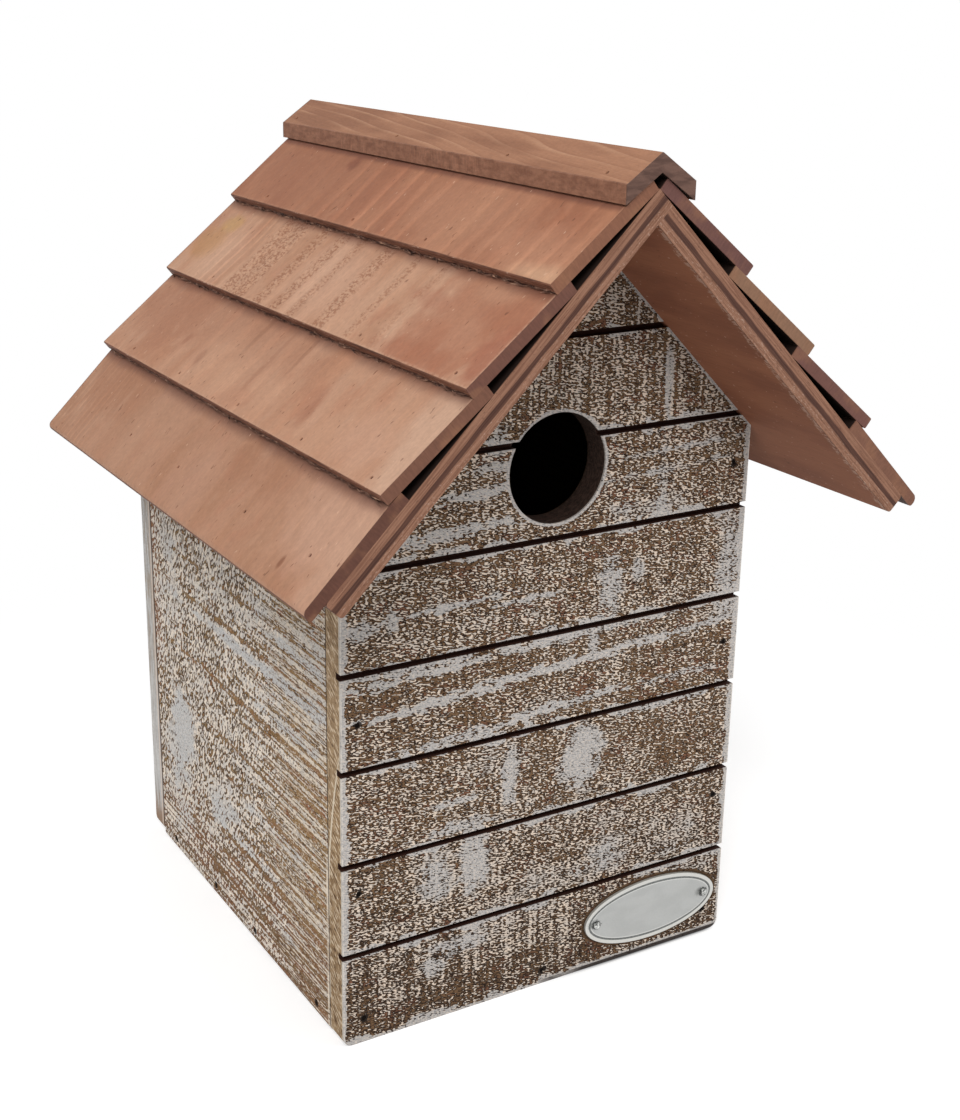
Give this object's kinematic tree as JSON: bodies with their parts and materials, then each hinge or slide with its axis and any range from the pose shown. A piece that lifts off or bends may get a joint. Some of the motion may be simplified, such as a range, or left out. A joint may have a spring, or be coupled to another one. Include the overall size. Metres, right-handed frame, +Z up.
{
  "type": "nest box",
  "caption": "Small wooden nest box with a grooved front board, a round entrance hole and a shingled gable roof under a ridge cap.",
  "frame": {"origin": "middle of the walls' footprint, on the ground under the box", "axes": "+X to the right seen from the front, +Y to the back, +Z up; the entrance faces -Y"},
  "size_m": [0.1932, 0.1958, 0.2545],
  "materials": {
    "painted_boards": "rough sawn, whitewashed",
    "plywood": "stained plywood",
    "shingles": "stained, matte",
    "plate": "satin",
    "nails": "weathered"
  },
  "bodies": {
    "root": {"front_panel": "painted_boards", "back_panel": "painted_boards", "left_side_panel": "painted_boards", "right_side_panel": "painted_boards", "floor_panel": "painted_boards", "left_roof_panel": "plywood", "right_roof_panel": "plywood", "left_shingle_1": "shingles", "left_shingle_2": "shingles", "left_shingle_3": "shingles", "left_shingle_4": "shingles", "right_shingle_1": "shingles", "right_shingle_2": "shingles", "right_shingle_3": "shingles", "right_shingle_4": "shingles", "ridge_cap": "shingles", "name_plate": "plate", "front_panel_nails": "nails", "back_panel_nails": "nails", "left_side_nails": "nails", "right_side_nails": "nails", "left_shingle_1_nails": "nails", "left_shingle_2_nails": "nails", "left_shingle_3_nails": "nails", "left_shingle_4_nails": "nails", "right_shingle_1_nails": "nails", "right_shingle_2_nails": "nails", "right_shingle_3_nails": "nails", "right_shingle_4_nails": "nails", "ridge_cap_nails": "nails", "plate_nail_left": "nails", "plate_nail_right": "nails"}
  },
  "joints": []
}
